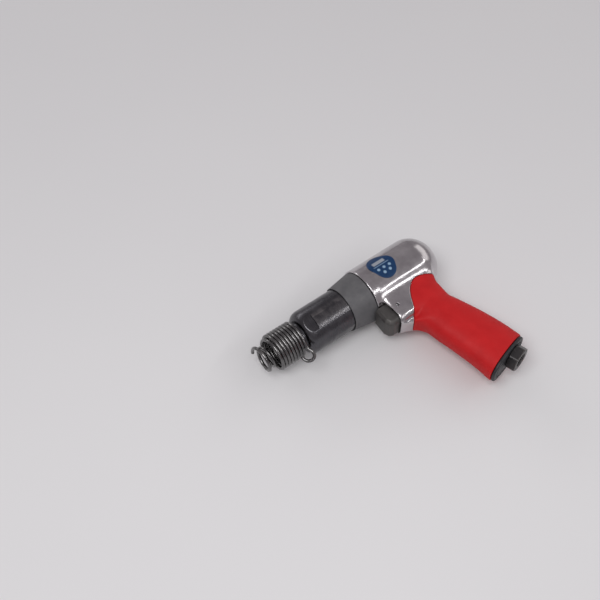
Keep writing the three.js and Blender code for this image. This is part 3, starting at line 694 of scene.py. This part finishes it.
def grey_collar():
    finish = Finish("grey_collar", 0.3, 0.4)
    cloud = finish.noise(7, 4)
    grain = finish.noise(0.35, 2)
    colour = finish.mixed(finish.spread(cloud, 0.3, 0.7), (0.105, 0.104, 0.110), (0.135, 0.134, 0.140))
    finish.set("Base Color", finish.mixed(worn_edges(finish), colour, (0.24, 0.24, 0.24)))
    finish.set("Roughness", finish.spread(grain, 0.3, 0.7, 0.48, 0.62))
    finish.bumps((grain, 0.25, 0.05), (cloud, 0.15, 0.2))
    return finish.material


def red_rubber():
    finish = Finish("red_rubber", 0.0, 0.22)
    cloud = finish.noise(18, 4)
    grain = finish.noise(0.45, 3)
    smears = finish.spread(finish.noise(1, 3, finish.stretched((260, 60, 60))), 0.58, 0.75)
    colour = finish.mixed(finish.spread(cloud, 0.3, 0.7), (0.47, 0.009, 0.011), (0.56, 0.014, 0.016))
    finish.set("Base Color", finish.mixed(finish.maths("MULTIPLY", smears, 0.2), colour, (0.55, 0.04, 0.04)))
    finish.set("Roughness", finish.spread(finish.noise(4, 4), 0.3, 0.7, 0.46, 0.60))
    finish.bumps((grain, 0.35, 0.06), (cloud, 0.25, 0.3))
    return finish.material


def soft_black(name, tone, grain_mm, rough_low, rough_high):
    """Black rubber or moulded plastic with its fine grain."""
    finish = Finish(name, 0.0, 0.4)
    grain = finish.noise(grain_mm, 3)
    cloud = finish.noise(6, 3)
    light = tuple(channel * 1.9 for channel in tone)
    finish.set("Base Color", finish.mixed(finish.spread(cloud, 0.35, 0.7), tone, light))
    finish.set("Roughness", finish.spread(cloud, 0.3, 0.7, rough_low, rough_high))
    finish.bumps((grain, 0.3, 0.05))
    return finish.material


def trigger_finish():
    finish = Finish("trigger_finish", 0.55, 0.5)
    grain = finish.noise(0.6, 3)
    cloud = finish.noise(6, 4)
    colour = finish.mixed(finish.spread(cloud, 0.3, 0.7), (0.075, 0.071, 0.069), (0.105, 0.100, 0.096))
    finish.set("Base Color", finish.mixed(worn_edges(finish), colour, (0.26, 0.25, 0.24)))
    finish.set("Roughness", finish.spread(cloud, 0.3, 0.7, 0.38, 0.5))
    finish.bumps((grain, 0.2, 0.05), (cloud, 0.15, 0.2))
    return finish.material


def navy_badge():
    """A printed label: navy with a pale bar, a thin line and plain round dots."""
    finish = Finish("navy_badge", 0.0, 0.35)
    axes = finish.node("SeparateXYZ", {"Vector": finish.place})

    def along(turn, centre):
        """Millimetres from the centre along a direction that leans that many degrees from the x axis."""
        middle = spot(*centre, 0)
        lean = math.radians(turn)
        away_x = finish.maths("SUBTRACT", axes.outputs["X"], middle.x)
        away_y = finish.maths("SUBTRACT", axes.outputs["Y"], middle.y)
        return finish.maths("ADD", finish.maths("MULTIPLY", away_x, math.cos(lean) / MM),
                            finish.maths("MULTIPLY", away_y, math.sin(lean) / MM))

    def block(centre, turn, half_u, half_v):
        away_u = finish.maths("ABSOLUTE", along(turn, centre))
        away_v = finish.maths("ABSOLUTE", along(turn + 90, centre))
        inside_u = finish.spread(away_u, half_u + 0.1, half_u - 0.1)
        return finish.maths("MULTIPLY", inside_u, finish.spread(away_v, half_v + 0.1, half_v - 0.1))

    def dot(centre, radius):
        u, v = along(0, centre), along(90, centre)
        square = finish.maths("ADD", finish.maths("MULTIPLY", u, u), finish.maths("MULTIPLY", v, v))
        return finish.spread(finish.maths("SQRT", square), radius + 0.12, radius - 0.12)

    marks = block((48.4, 3.5), 0, 8.4, 0.3)
    for centre in ((55.0, -0.6), (48.8, -0.4), (42.6, -0.4), (52.6, -5.0), (46.2, -5.2)):
        marks = finish.maths("MAXIMUM", marks, dot(centre, 1.5))
    panel = block((48.0, 7.3), 0, 6.6, 2.0)
    ink = finish.mixed(finish.spread(finish.noise(5), 0.3, 0.7), (0.002, 0.028, 0.092), (0.005, 0.040, 0.120))
    ink = finish.mixed(marks, ink, (0.25, 0.38, 0.52))
    finish.set("Base Color", finish.mixed(panel, ink, (0.30, 0.33, 0.37)))
    finish.set("Roughness", finish.spread(finish.noise(3), 0.3, 0.7, 0.34, 0.46))
    finish.bumps((finish.noise(1.5), 0.15, 0.04))
    return finish.material


MATERIALS = {
    "polished_aluminium": polished_aluminium(),
    "black_steel": turned_metal("black_steel", (0.085, 0.084, 0.092), (0.115, 0.113, 0.122), 0.22, 0.30,
                                wear=(0.26, 0.25, 0.25)),
    "grey_collar": grey_collar(),
    "spring_steel": turned_metal("spring_steel", (0.13, 0.128, 0.130), (0.22, 0.216, 0.214), 0.18, 0.30,
                                 ring=900),
    "bright_steel": turned_metal("bright_steel", (0.52, 0.52, 0.53), (0.62, 0.62, 0.63), 0.16, 0.28),
    "brass": turned_metal("brass", (0.62, 0.44, 0.17), (0.72, 0.53, 0.24), 0.2, 0.32),
    "red_rubber": red_rubber(),
    "black_rubber": soft_black("black_rubber", (0.012, 0.012, 0.013), 0.5, 0.55, 0.75),
    "black_plastic": soft_black("black_plastic", (0.016, 0.016, 0.018), 0.35, 0.4, 0.55),
    "trigger_finish": trigger_finish(),
    "inlet_steel": turned_metal("inlet_steel", (0.050, 0.048, 0.050), (0.080, 0.076, 0.076), 0.3, 0.42,
                                wear=(0.30, 0.27, 0.24), ring=1400),
    "navy_badge": navy_badge(),
}
SLOTS = {row["node"]: row["material_slot"] for row in frame["record"]["subparts"]}


def stands_for(piece, node):
    """The piece replaces that CAD node, on its body and in its material slot."""
    piece.data.materials.clear()
    piece.data.materials.append(MATERIALS[SLOTS[node]])
    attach(piece, frame["nodes"][node]["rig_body"])
    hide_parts(node)
    return piece


# ---------- the pieces ----------
def make_housing():
    low, high = (13, -141, -28.5), (110, 28.5, 28.5)
    stands_for(carved("housing_casting", housing_field, low, high, 0.6, keep=0.45), "housing")


def make_sleeve():
    low, high = (39, -139, -20.5), (113, -18, 20.5)
    stands_for(carved("grip_rubber", sleeve_field, low, high, 0.6, keep=0.6), "grip_sleeve")


def make_barrel():
    shoulder = []
    for k in range(25):
        turn = math.pi / 2 * k / 24
        shoulder.append((SHOULDER_REAR + (NOSE_REAR - SHOULDER_REAR) * math.cos(turn),
                         NOSE_RADIUS + (BARREL_RADIUS - NOSE_RADIUS) * math.sin(turn)))
    front = eased([(SOCKET_END, SOCKET_RADIUS), (NOSE_FRONT, SOCKET_RADIUS), (NOSE_FRONT, NOSE_RADIUS),
                   shoulder[0]], 0.8, closed=False)
    milled = [(x, BARREL_RADIUS) for x in np.arange(SHOULDER_REAR + 0.5, FLAT_REAR, 0.5)]
    floor = BARREL_RADIUS - GROOVE_DEPTH
    groove = [(GROOVE_FRONT, BARREL_RADIUS), (GROOVE_FRONT, floor), (GROOVE_REAR, floor),
              (GROOVE_REAR, BARREL_RADIUS)]
    rear = eased([(FLAT_REAR + 0.35, BARREL_RADIUS), *groove, (BARREL_REAR, BARREL_RADIUS),
                  (BARREL_REAR, BARREL_BORE), (SOCKET_END, BARREL_BORE), (SOCKET_END, SOCKET_RADIUS)],
                 0.4, closed=False)
    outline = front + shoulder[1:] + milled + [(FLAT_REAR, BARREL_RADIUS)] + rear[:-1]
    points, faces = turned_mesh(outline, 240)
    points = np.array(points)
    for side in (0, 180):
        tilt = math.radians(FLAT_TILT + side)
        height = -points[:, 1] * math.sin(tilt) + points[:, 2] * math.cos(tilt)
        share = np.where((points[:, 0] <= FLAT_REAR) & (height > FLAT_DISTANCE),
                         FLAT_DISTANCE / np.maximum(height, 1), 1)
        points[:, 1:] *= share[:, None]
    piece = new_object("barrel_tube", new_mesh("barrel_tube", points, faces))
    beyond = BARREL_PORT_RANGE
    holes = [((PORT_X, -beyond, 0), (PORT_X, beyond, 0), PORT_RADIUS),
             ((PORT_X, 0, -beyond), (PORT_X, 0, beyond), PORT_RADIUS),
             ((DOWEL_FRONT - 0.5, DOWEL_Y, 0), (BARREL_REAR + 1, DOWEL_Y, 0), DOWEL_HOLE)]
    for side in (-1, 1):
        reach = FEED_CIRCLE * math.sqrt(0.5) * side
        holes.append(((FEED_FRONT, reach, reach), (BARREL_REAR + 1, reach, reach), FEED_RADIUS))
    drill(piece, holes)
    stands_for(shaded(piece, 30), "barrel")


def make_collar():
    lip = BARREL_RADIUS + GAP
    outline = [(0, lip), (0, COLLAR_FRONT_RADIUS - 0.3), (0.3, COLLAR_FRONT_RADIUS),
               (COLLAR_REAR, COLLAR_REAR_RADIUS), (COLLAR_REAR, COLLAR_REAR_RADIUS - 2.3), (8, lip + 1.3),
               (4, lip)]
    stands_for(turned("collar_ring", outline, 0.5, 192), "exhaust_collar")


def eased_step(value, low, high):
    share = min(1.0, max(0.0, (value - low) / (high - low)))
    return share * share * (3 - 2 * share)


def even_steps(path, step):
    """The path's points laid out again at even steps along it."""
    lengths = np.linalg.norm(np.diff(path, axis=0), axis=1)
    place = np.concatenate(([0], np.cumsum(lengths)))
    wanted = np.linspace(0, place[-1], int(place[-1] / step))
    return np.stack([np.interp(wanted, place, path[:, k]) for k in range(3)], axis=1)


def coil_point(turn):
    past = max(0.0, turn - COIL["turns"]) / COIL["end_turns"]
    narrowing = eased_step(past, 0, 0.5)
    widening = eased_step(past, 0.5, 0.95)
    radius = COIL["radius"] + (COIL["waist"] - COIL["radius"]) * narrowing
    radius += (COIL["mouth"] - COIL["waist"]) * widening
    advance = COIL["pitch"] * turn + COIL["stretch"] * eased_step(past, 0, 0.9)
    angle = math.radians(COIL["start"]) + 2 * math.pi * turn
    return np.array((COIL["rear"] - advance, radius * math.sin(angle), radius * math.cos(angle)))


def make_retainer():
    start = coil_point(0)
    lead = start - coil_point(0.001)
    lead[0] = 0
    lead /= np.linalg.norm(lead)
    bend = start + lead * HOOK["lead"]
    dip = math.radians(HOOK["dip"])
    outward = np.array((0, -math.cos(dip), -math.sin(dip)))
    knots = []
    for degrees in range(HOOK["from"], HOOK["to"] - 1, HOOK["step"]):
        turn = math.radians(degrees)
        aside = np.array((HOOK["offset"] + HOOK["radius"] * math.cos(turn), 0, 0))
        knots.append(bend + aside + outward * (HOOK["reach"] + HOOK["radius"] * math.sin(turn)))
    knots += [bend, start + lead * HOOK["lead"] / 2, start, coil_point(0.04)]
    path = smooth_rows(knots, 20 * len(knots)).tolist()
    turns = COIL["turns"] + COIL["end_turns"]
    path += [coil_point(turn) for turn in np.linspace(0.045, turns, int(turns * 72))]
    path = even_steps(np.array(path), 1.2)
    stands_for(wire("retaining_spring_wire", path, COIL["wire"], 24), "retaining_spring")


def make_trigger():
    low, high = (17, -52, -13.5), (44.5, -20, 13.5)
    stands_for(carved("trigger_button", trigger_field, low, high, 0.4, keep=0.7), "trigger")
    pin = [(0, 0.6), (0, PIN_RADIUS), (2 * PIN_HALF_LENGTH, PIN_RADIUS), (2 * PIN_HALF_LENGTH, 0.6)]
    pin_start = (PIN_X, PIN_Y, -PIN_HALF_LENGTH)
    stands_for(turned("trigger_roll_pin", pin, 0.25, 48, pin_start, (0, 0, 1)), "trigger_pin")


def make_throttle():
    start = (0, THROTTLE_Y, 0)
    seat = THROTTLE_SEAT
    front = TRIGGER_REAR + GAP
    stem = [(front, 0), (front, STEM_RADIUS), (seat + 2, STEM_RADIUS), (seat + 2, 5), (seat + 4.2, 5),
            (seat + 4.2, 2.2), (seat + 7.5, 2.2), (seat + 7.5, 0)]
    stands_for(turned("throttle_valve_stem", stem, 0.4, 64, start), "throttle_stem")
    face = [(seat + 0.1, STEM_RADIUS + GAP), (seat + 0.1, 5), (seat + 1.7, 5),
            (seat + 1.7, STEM_RADIUS + GAP)]
    stands_for(turned("throttle_seal_washer", face, 0.3, 64, start), "throttle_seal")
    front = POCKET_HIGH[0] + 1.6
    outer = THROTTLE_BORE - GAP
    sleeve = [(front, STEM_RADIUS + GAP), (front, outer), (front + 1, outer), (front + 1, outer - 1.4),
              (front + 2.8, outer - 1.4), (front + 2.8, outer), (seat - 0.2, outer), (seat - 0.2, 3.6),
              (front + 3.6, 3.6), (front + 3.6, STEM_RADIUS + GAP)]
    ports = []
    for reach_y, reach_z in ((9, 0), (0, 9)):
        ports.append(((THROTTLE_PORT_X, THROTTLE_Y - reach_y, -reach_z),
                      (THROTTLE_PORT_X, THROTTLE_Y + reach_y, reach_z), THROTTLE_PORT_RADIUS))
    stands_for(turned("throttle_guide", sleeve, 0.25, 72, start, holes=ports), "throttle_bushing")
    stands_for(ring("bushing_oring_seal", (POCKET_HIGH[0] + 3.5, THROTTLE_Y, 0), (1, 0, 0),
                    THROTTLE_BORE - 1.0, 0.6), "bushing_oring")
    path = []
    for share in np.linspace(0, 1, 190):
        angle = 2 * math.pi * RETURN_TURNS * share
        x = (seat + 5.05) * (1 - share) + (THROTTLE_END - 0.75) * share
        path.append((x, THROTTLE_Y + RETURN_RADIUS * math.sin(angle), RETURN_RADIUS * math.cos(angle)))
    coil = stands_for(wire("throttle_return_spring", path, RETURN_WIRE, 12), "throttle_spring")
    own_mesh(coil)


def ring(name, centre, direction, radius, wire_radius):
    """A rubber ring of round section."""
    outline = []
    for k in range(20):
        turn = 2 * math.pi * k / 20
        outline.append((wire_radius * math.cos(turn), radius + wire_radius * math.sin(turn)))
    points, faces = turned_mesh(outline, 72)
    return shaded(new_object(name, new_mesh(name, placed(points, centre, direction), faces)), 60)


def valve_holes(front, rear, ports):
    """The dowel's hole and a circle of ports through a disc of the valve."""
    count, circle, radius, first = ports
    holes = [((front - 1, DOWEL_Y, 0), (rear + 1, DOWEL_Y, 0), DOWEL_HOLE)]
    for k in range(count):
        turn = math.radians(first + 360 / count * k)
        y, z = circle * math.cos(turn), circle * math.sin(turn)
        holes.append(((front - 1, y, z), (rear + 1, y, z), radius))
    return holes


def make_percussion():
    groove = PISTON_RADIUS - 0.9
    front, rear = PISTON_FRONT, PISTON_REAR
    hammer = [(front, 0), (front, PISTON_RADIUS), (front + 9, PISTON_RADIUS), (front + 9.5, groove),
              (front + 12, groove), (front + 12.5, PISTON_RADIUS), (rear, PISTON_RADIUS), (rear, 4),
              (rear - 6, 4), (rear - 8, 0)]
    stands_for(turned("hammer_piston_body", hammer, 1.0, 96), "piston")
    block_front = BARREL_REAR + GAP
    block = [(block_front, 4), (block_front, VALVE_RADIUS), (BLOCK_REAR, VALVE_RADIUS),
             (BLOCK_REAR, PLATE_RADIUS + 0.5), (BLOCK_REAR - 1.2, PLATE_RADIUS + 0.5), (BLOCK_REAR - 1.2, 4)]
    holes = valve_holes(block_front, BLOCK_REAR, BLOCK_PORTS)
    stands_for(turned("valve_front_block", block, 0.35, 128, holes=holes), "valve_block")
    cover = [(COVER_FRONT, 2.5), (COVER_FRONT, 14), (BLOCK_REAR + GAP, 17), (BLOCK_REAR + GAP, VALVE_RADIUS),
             (COVER_REAR, VALVE_RADIUS), (COVER_REAR, 17.5), (COVER_REAR - 1.5, 16), (COVER_REAR - 1.5, 2.5)]
    holes = valve_holes(COVER_FRONT - 3, COVER_REAR, COVER_PORTS)
    stands_for(turned("valve_rear_cover", cover, 0.35, 128, holes=holes), "valve_cover")
    plate = [(PLATE_FRONT, 2), (PLATE_FRONT, PLATE_RADIUS), (PLATE_FRONT + PLATE_WALL, PLATE_RADIUS),
             (PLATE_FRONT + PLATE_WALL, 2)]
    stands_for(turned("valve_flutter_plate", plate, 0.3, 128), "valve_plate")
    length = COVER_REAR - 1 - DOWEL_FRONT
    dowel = [(0, 0), (0, DOWEL_RADIUS), (length, DOWEL_RADIUS), (length, 0)]
    stands_for(turned("valve_locating_dowel", dowel, 0.4, 48, (DOWEL_FRONT, DOWEL_Y, 0)), "valve_dowel")
    front, rear = COVER_REAR + GAP, BORE_END - GAP
    cushion = [(front, CUSHION_INNER), (front, CUSHION_OUTER), (rear, CUSHION_OUTER), (rear, CUSHION_INNER)]
    stands_for(turned("rear_cushion", cushion, 0.8, 128), "cushion_ring")
    stands_for(ring("barrel_oring_seal", (34.3, 0, 0), (1, 0, 0), BARREL_RADIUS - 0.7, 0.85), "barrel_oring")


def make_grip_end():
    corner = np.array(end_point(0, 0))
    low, high = corner + (-27, -12, -16.5), corner + (28, 9, 16.5)
    stands_for(carved("grip_end_plate", end_plate_field, low, high, 0.5, keep=0.6), "end_plate")
    centre = np.array(end_point(INLET_OFFSET, 0))
    low, high = centre + (-16.5, -17.5, -13.5), centre + (17, 18.5, 13.5)
    stands_for(carved("air_inlet_hexagon", inlet_field, low, high, 0.33, keep=0.7), "inlet_bushing")
    tilt = math.radians(END_TILT)
    down = (math.sin(tilt), -math.cos(tilt), 0)
    stands_for(ring("inlet_oring_seal", end_point(INLET_OFFSET, -1.3), down, NECK_RADIUS - 0.6, 0.75),
               "inlet_oring")
    screen = [(0, 0), (0, INLET_BORE - GAP), (SCREEN_WALL, INLET_BORE - GAP), (SCREEN_WALL, 0)]
    start = end_point(INLET_OFFSET, SCREEN_WALL + 2 - NECK_LENGTH)
    holes = []
    for row in (-SCREEN_SPACING, 0, SCREEN_SPACING):
        for column in (-SCREEN_SPACING, 0, SCREEN_SPACING):
            holes.append((end_point(INLET_OFFSET + row, -NECK_LENGTH, column),
                          end_point(INLET_OFFSET + row, 5 - NECK_LENGTH, column), SCREEN_HOLE))
    up = tuple(-part for part in down)
    stands_for(turned("inlet_strainer", screen, 0.2, 64, start, up, holes=holes), "inlet_screen")


def make_badge():
    """A thin label with rounded corners, bent round the housing."""
    edge = []
    count = len(BADGE_CORNERS)
    for i, (x, y) in enumerate(BADGE_CORNERS):
        before, after = BADGE_CORNERS[i - 1], BADGE_CORNERS[(i + 1) % count]
        start = math.atan2(y - before[1], x - before[0]) + math.pi / 2
        end = math.atan2(after[1] - y, after[0] - x) + math.pi / 2
        turn = (end - start + math.pi) % (2 * math.pi) - math.pi
        for k in range(29):
            angle = start + turn * k / 28
            edge.append((x + BADGE_CORNER_RADIUS * math.cos(angle),
                         y + BADGE_CORNER_RADIUS * math.sin(angle)))
    edge = np.array(edge)
    middle = edge.mean(axis=0)
    low, high = BADGE_INNER, BADGE_OUTER
    thick = high - low
    rings = [(share, high) for share in np.linspace(0.08, 0.95, 14)]
    rings += [(0.975, high - 0.04), (0.992, high - 0.15), (1.0, high - 0.3), (1.0, low + thick * 0.1)]
    rings += [(0.99, low)] + [(share, low) for share in np.linspace(0.9, 0.08, 10)]
    points, faces = [], []
    size = len(edge)
    for share, radius in rings:
        for x, y in middle + (edge - middle) * share:
            points.append((x, y, math.sqrt(radius**2 - y**2)))
    for row in range(len(rings) - 1):
        for k in range(size):
            a, b = row * size + k, row * size + (k + 1) % size
            faces.append([a, a + size, b + size, b])
    faces.append(list(range(size)))
    faces.append([(len(rings) - 1) * size + k for k in range(size)][::-1])
    piece = new_object("badge_label", new_mesh("badge_label", points, faces))
    stands_for(shaded(piece, 40), "badge")


for make in (make_housing, make_sleeve, make_barrel, make_collar, make_retainer, make_trigger, make_throttle,
             make_percussion, make_grip_end, make_badge):
    make()


# ---------- stage: degrees, and metres for the camera ----------
CAMERA_AZIMUTH, CAMERA_ELEVATION, CAMERA_LENS = -37.1, 54.6, 65.64
CAMERA_DISTANCE, CAMERA_ASIDE, CAMERA_RAISED = 1.013, -0.03815, 0.00907
FLOOR_HALF_WIDTH = 3000


def make_floor():
    finish = Finish("studio_floor", 0.0, 0.2)
    finish.set("Base Color", finish.mixed(finish.noise(400), (0.73, 0.73, 0.74), (0.77, 0.77, 0.775)))
    finish.set("Roughness", 0.75)
    half = FLOOR_HALF_WIDTH
    points = [(-half, -half, -BODY_RADIUS), (half, -half, -BODY_RADIUS), (half, half, -BODY_RADIUS),
              (-half, half, -BODY_RADIUS)]
    floor = new_object("studio_floor", new_mesh("studio_floor", points, [(0, 1, 2, 3)]))
    floor.data.materials.append(finish.material)


def soft_light(name, azimuth, elevation, distance, width, height, power, colour=(1, 1, 1)):
    """A rectangular softbox that faces the tool, seen from it at that azimuth and elevation."""
    lamp = bpy.data.lights.new(name, "AREA")
    lamp.shape = "RECTANGLE"
    lamp.size, lamp.size_y = width, height
    lamp.energy = power
    lamp.color = colour
    light = bpy.data.objects.new(name, lamp)
    a, e = math.radians(azimuth), math.radians(elevation)
    back = Vector((math.sin(a) * math.cos(e), -math.cos(a) * math.cos(e), math.sin(e)))
    light.location = ORIGIN + back * distance
    light.rotation_mode = "QUATERNION"
    light.rotation_quaternion = (-back).to_track_quat("-Z", "Y")
    bpy.context.scene.collection.objects.link(light)


def make_camera():
    """Looks down at the tool's left side from the nose end."""
    azimuth, elevation = math.radians(CAMERA_AZIMUTH), math.radians(CAMERA_ELEVATION)
    back = Vector((math.sin(azimuth) * math.cos(elevation), -math.cos(azimuth) * math.cos(elevation),
                   math.sin(elevation)))
    right = Vector((math.cos(azimuth), math.sin(azimuth), 0))
    up = back.cross(right)
    data = bpy.data.cameras.new("camera")
    data.lens = CAMERA_LENS
    camera = bpy.data.objects.new("camera", data)
    turn = Matrix((right, up, back)).transposed().to_4x4()
    place = ORIGIN + back * CAMERA_DISTANCE + right * CAMERA_ASIDE + up * CAMERA_RAISED
    camera.matrix_world = Matrix.Translation(place) @ turn
    bpy.context.scene.collection.objects.link(camera)
    bpy.context.scene.camera = camera


def make_light():
    world = bpy.data.worlds.new("studio")
    world.use_nodes = True
    sky = world.node_tree.nodes["Background"]
    sky.inputs["Color"].default_value = (0.86, 0.80, 0.84, 1)
    sky.inputs["Strength"].default_value = 0.36
    bpy.context.scene.world = world
    soft_light("key", -60, 62, 1.3, 0.8, 0.5, 8)
    soft_light("side", 95, 30, 1.6, 1.4, 0.8, 2.8, (1.0, 0.98, 0.95))
    soft_light("back", 185, 22, 1.6, 1.4, 0.3, 3)
    soft_light("strip", 29.8, 45.5, 1.3, 1.3, 0.045, 2.2)


make_floor()
make_camera()
make_light()
bpy.context.scene.view_settings.view_transform = "Standard"
